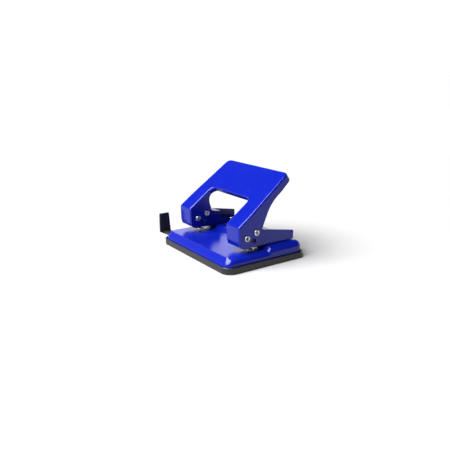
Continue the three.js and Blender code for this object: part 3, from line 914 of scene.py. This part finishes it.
def set_out(name, prototype, places, turn, body, nodes, finish):
    piece = mesh_piece(name, places, [])
    step = piece.modifiers.new("set_out", "NODES")
    step.node_group = setting_out
    step[made_piece.identifier] = prototype
    step[turn_angle.identifier] = turn
    step[piece_finish.identifier] = finish
    settled(piece)
    bpy.data.objects.remove(prototype)
    return hand_over(piece, body, nodes, finish)


def middle_of(node):
    low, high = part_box(node)
    return (low + high) / 2


SIDES = ("left", "right")
ON_ITS_SIDE = (0, math.radians(90), 0)
PIN_HEAD = 0.0027
HEAD_THICK = 0.0009


# A tubular pin: its ends are set over into a rounded rim round a deep bore.
def pin_profile(shank, half_length):
    seat = half_length - HEAD_THICK
    bore = shank * 0.76
    rim = []
    for i in range(9):
        angle = math.pi * i / 8
        spread = (PIN_HEAD - bore) / 2
        rim.append((bore + spread + spread * math.cos(angle), seat + 0.0003 + (HEAD_THICK - 0.0003) * math.sin(angle)))
    half = [(shank, seat), (PIN_HEAD, seat)] + rim + [(bore * 0.96, half_length - 0.005), (0, half_length - 0.0056)]
    return [(r, -h) for r, h in reversed(half)] + half


for kind, shank in (("pivot", 0.0018), ("cross", 0.0015)):
    low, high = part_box(f"{kind}_pin_right")
    set_out(
        f"{kind}_pins", spun(f"{kind}_pin", pin_profile(shank, (high.x - low.x) / 2)),
        [middle_of(f"{kind}_pin_{side}") for side in SIDES], ON_ITS_SIDE, "lever",
        [f"{kind}_pin_{side}" for side in SIDES], plated_steel,
    )

washer_low, washer_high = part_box("pivot_washer_right_outer")
washer_half = (washer_high.x - washer_low.x) / 2
washer_radius = (washer_high.z - washer_low.z) / 2
washers = [f"pivot_washer_{side}_{face}" for side in SIDES for face in ("outer", "inner")]
set_out(
    "pivot_washers",
    spun("washer", [
        (0.0021, -washer_half), (washer_radius - 0.00015, -washer_half), (washer_radius, -washer_half + 0.00015),
        (washer_radius, washer_half - 0.00015), (washer_radius - 0.00015, washer_half), (0.0021, washer_half)]),
    [middle_of(node) for node in washers], ON_ITS_SIDE, "base", washers, plated_steel,
)

# The rivets: a flat tail under the base's sheet and a domed head on the bracket's floor.
rivets = [f"bracket_rivet_{side}_{row}" for side in SIDES for row in ("front", "rear")]
rivet_low, rivet_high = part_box(rivets[0])
rivet_half = (rivet_high.z - rivet_low.z) / 2
head_radius = (rivet_high.x - rivet_low.x) / 2
head_seat = 0.0178 + 0.0003 - (rivet_low.z + rivet_high.z) / 2
tail_seat = -rivet_half + 0.001
dome = [(head_radius * math.cos(math.radians(a)), head_seat + (rivet_half - head_seat) * math.sin(math.radians(a)))
        for a in range(0, 90, 10)]
set_out(
    "bracket_rivets",
    spun("rivet", [(0, -rivet_half), (head_radius * 0.93, -rivet_half), (head_radius * 0.93, tail_seat),
                   (0.0016, tail_seat), (0.0016, head_seat)] + dome + [(0, rivet_half)], 32),
    [middle_of(node) for node in rivets], (0, 0, 0), "base", rivets, plated_steel,
)


# ---------------------------------------------------------------- dies, punches and spring washers
# Hardened steel, turned and ground. Each punch is a rod with a notched tip that starts the cut at two points.
# A slot across the rod takes the cross pin, and a washer under it takes the spring's push.
dies = [f"die_{side}" for side in SIDES]
die_low, die_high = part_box(dies[0])
die_half = (die_high.z - die_low.z) / 2
die_flange = (die_high.x - die_low.x) / 2
DIE_BODY = 0.0045
DIE_BORE = punch_room - 0.0001
set_out(
    "dies",
    spun("die", [
        (DIE_BORE, -die_half), (die_flange - 0.0002, -die_half), (die_flange, -die_half + 0.0002), (die_flange, 0),
        (DIE_BODY, 0), (DIE_BODY, die_half - 0.0002), (DIE_BODY - 0.0002, die_half), (DIE_BORE, die_half)], 64),
    [middle_of(node) for node in dies], (0, 0, 0), "base", dies, ground_steel,
)

for side in SIDES:
    low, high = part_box(f"punch_{side}")
    middle = (low + high) / 2
    radius = (high.x - low.x) / 2
    half = (high.z - low.z) / 2
    body_rod = spun(f"punch_rod_{side}", [
        (0, -half), (radius, -half), (radius, half - 0.0005), (radius - 0.0005, half), (0, half)], 64)
    for corner in body_rod.data.vertices:
        corner.co += middle
    notch = across("notch", [Vector(p) for p in (
        (middle.y - 0.0035, low.z - 0.001), (middle.y + 0.0035, low.z - 0.001), (middle.y, low.z + 0.0011))],
        middle.x - 0.005, middle.x + 0.005)
    pin_way = across("pin_way", rounded([
        (middle.y - 0.00215, cross.z - 0.0018, 0.0012), (middle.y + 0.00215, cross.z - 0.0018, 0.0012),
        (middle.y + 0.00215, cross.z + 0.0018, 0.0012), (middle.y - 0.00215, cross.z + 0.0018, 0.0012)]),
        middle.x - 0.005, middle.x + 0.005)
    cut(body_rod, notch, pin_way)
    hand_over(body_rod, f"punch_{side}", [f"punch_{side}"], ground_steel)

    low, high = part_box(f"spring_washer_{side}")
    ring = (high.x - low.x) / 2
    thick = (high.z - low.z) / 2
    set_out(
        f"spring_washer_ring_{side}",
        spun("ring", [(punch_room, -thick), (ring - 0.0002, -thick), (ring, -thick + 0.0002),
                      (ring, thick - 0.0002), (ring - 0.0002, thick), (punch_room, thick)]),
        [(low + high) / 2], (0, 0, 0), f"punch_{side}", [f"spring_washer_{side}"], plated_steel,
    )


# ---------------------------------------------------------------- return springs
# A coil of drawn spring wire round each punch, between the bracket's floor and the washer on the punch.
# Its end coils lie flat and dead and the coils between are open. It is built at rest and rides with the base, so here
# it does not close up as the punch goes down.
SPRING_TURNS = 4.5
WIRE = 0.00035
coiling = bpy.data.node_groups.new("coil_spring", "GeometryNodeTree")
sockets = coiling.interface
sockets.new_socket("Place", in_out="INPUT", socket_type="NodeSocketGeometry")
coil_radius = sockets.new_socket("Coil radius", in_out="INPUT", socket_type="NodeSocketFloat")
coil_low = sockets.new_socket("Low end", in_out="INPUT", socket_type="NodeSocketFloat")
coil_high = sockets.new_socket("High end", in_out="INPUT", socket_type="NodeSocketFloat")
coil_wire = sockets.new_socket("Wire radius", in_out="INPUT", socket_type="NodeSocketFloat")
coil_centre = sockets.new_socket("Centre", in_out="INPUT", socket_type="NodeSocketVector")
coil_finish = sockets.new_socket("Finish", in_out="INPUT", socket_type="NodeSocketMaterial")
sockets.new_socket("Spring", in_out="OUTPUT", socket_type="NodeSocketGeometry")
coil_in = coiling.nodes.new("NodeGroupInput")
coil_in.location = (-900, 0)
spiral = coiling.nodes.new("GeometryNodeCurveSpiral")
spiral.label = "wire's path"
spiral.location = (-600, 200)
spiral.inputs["Resolution"].default_value = 36
spiral.inputs["Rotations"].default_value = SPRING_TURNS
spiral.inputs["Height"].default_value = 0
along_wire = coiling.nodes.new("GeometryNodeSplineParameter")
along_wire.location = (-900, -250)
rise = coiling.nodes.new("ShaderNodeMapRange")
rise.label = "flat ends, open middle"
rise.location = (-650, -200)
rise.inputs["From Min"].default_value = 0.5 / SPRING_TURNS
rise.inputs["From Max"].default_value = 1 - 0.5 / SPRING_TURNS
here = coiling.nodes.new("GeometryNodeInputPosition")
here.location = (-650, -500)
parts_of = coiling.nodes.new("ShaderNodeSeparateXYZ")
parts_of.location = (-450, -500)
lifted = coiling.nodes.new("ShaderNodeCombineXYZ")
lifted.location = (-250, -400)
shaped = coiling.nodes.new("GeometryNodeSetPosition")
shaped.location = (-200, 100)
section = coiling.nodes.new("GeometryNodeCurvePrimitiveCircle")
section.label = "round wire"
section.location = (-200, -150)
section.inputs["Resolution"].default_value = 12
wound = coiling.nodes.new("GeometryNodeCurveToMesh")
wound.location = (50, 100)
wound.inputs["Fill Caps"].default_value = True
moved = coiling.nodes.new("GeometryNodeTransform")
moved.location = (250, 100)
whole = coiling.nodes.new("GeometryNodeRealizeInstances")
whole.location = (450, 100)
coated = coiling.nodes.new("GeometryNodeSetMaterial")
coated.location = (650, 100)
coil_out = coiling.nodes.new("NodeGroupOutput")
coil_out.location = (850, 100)
coiling.links.new(coil_in.outputs["Coil radius"], spiral.inputs["Start Radius"])
coiling.links.new(coil_in.outputs["Coil radius"], spiral.inputs["End Radius"])
coiling.links.new(along_wire.outputs["Factor"], rise.inputs["Value"])
coiling.links.new(coil_in.outputs["Low end"], rise.inputs["To Min"])
coiling.links.new(coil_in.outputs["High end"], rise.inputs["To Max"])
coiling.links.new(here.outputs["Position"], parts_of.inputs["Vector"])
coiling.links.new(parts_of.outputs["X"], lifted.inputs["X"])
coiling.links.new(parts_of.outputs["Y"], lifted.inputs["Y"])
coiling.links.new(rise.outputs["Result"], lifted.inputs["Z"])
coiling.links.new(spiral.outputs["Curve"], shaped.inputs["Geometry"])
coiling.links.new(lifted.outputs["Vector"], shaped.inputs["Position"])
coiling.links.new(coil_in.outputs["Wire radius"], section.inputs["Radius"])
coiling.links.new(shaped.outputs["Geometry"], wound.inputs["Curve"])
coiling.links.new(section.outputs["Curve"], wound.inputs["Profile Curve"])
coiling.links.new(wound.outputs["Mesh"], moved.inputs["Geometry"])
coiling.links.new(coil_in.outputs["Centre"], moved.inputs["Translation"])
coiling.links.new(moved.outputs["Geometry"], whole.inputs["Geometry"])
coiling.links.new(whole.outputs["Geometry"], coated.inputs["Geometry"])
coiling.links.new(coil_in.outputs["Finish"], coated.inputs["Material"])
coiling.links.new(coated.outputs["Geometry"], coil_out.inputs["Spring"])

for side in SIDES:
    low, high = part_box(f"return_spring_{side}")
    punch_middle = middle_of(f"punch_{side}")
    spring = mesh_piece(f"spring_{side}", [punch_middle], [])
    step = spring.modifiers.new("coil", "NODES")
    step.node_group = coiling
    step[coil_radius.identifier] = 0.00385
    step[coil_low.identifier] = low.z + WIRE
    step[coil_high.identifier] = high.z - WIRE
    step[coil_wire.identifier] = WIRE * 0.97
    step[coil_centre.identifier] = (punch_middle.x, punch_middle.y, 0)
    step[coil_finish.identifier] = spring_wire
    settled(spring)
    hand_over(spring, "base", [f"return_spring_{side}"], spring_wire, crease=60)
    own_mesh(spring)


# ---------------------------------------------------------------- paper gauge and its rail
# A flat arm moulded in black plastic slides out to the left; its upright tab sets the paper's edge.
# A lug at the far end stops it in its folded steel rail, and shallow grooves cut along the arm give the paper sizes.
gauge_low, gauge_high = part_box("paper_gauge")
TAB_THICK = 0.0016
ARM_FRONT = -0.037
ARM_BACK = -0.029
ARM_LOW = 0.0066
ARM_TOP = ARM_LOW + 0.0016


# Softens every sharp edge of a piece by a small radius.
def softened(piece, radius, segments=3):
    edge = piece.modifiers.new("soft_edges", "BEVEL")
    edge.width = radius
    edge.segments = segments
    edge.limit_method = "ANGLE"
    edge.angle_limit = math.radians(50)
    return settled(piece)


arm_block = block("gauge_arm", (gauge_low.x + 0.0002, ARM_FRONT, ARM_LOW), (gauge_high.x, ARM_BACK, ARM_TOP))
arm = softened(arm_block, 0.0003)
tab = softened(across("gauge_tab", rounded([
    (-0.0408, 0.0073, 0.001), (-0.0308, 0.0021, 0.0015), (-0.0284, 0.0067, 0.001), (-0.0303, 0.0266, 0.0008),
    (-0.0408, 0.0266, 0.0008)]), gauge_low.x, gauge_low.x + TAB_THICK), 0.00035)
lug = softened(block("stop_lug", (gauge_high.x - 0.0025, ARM_FRONT + 0.0001, ARM_LOW + 0.0007),
                     (gauge_high.x - 0.0001, ARM_BACK - 0.0001, ARM_TOP + 0.0014)), 0.0003)
grooves = [block("size_mark", (-0.066 + 0.008 * i, ARM_FRONT + 0.0012, ARM_TOP - 0.0002),
                 (-0.0656 + 0.008 * i, ARM_FRONT + (0.0044 if i % 2 else 0.006), ARM_TOP + 0.001)) for i in range(11)]
cut(arm, tab, lug, keep="UNION")
cut(arm, *grooves)
hand_over(arm, "paper_gauge", ["paper_gauge"], black_plastic)
rail = bpy.data.objects["gauge_rail"]
rail.data.materials.clear()
rail.data.materials.append(plated_steel)
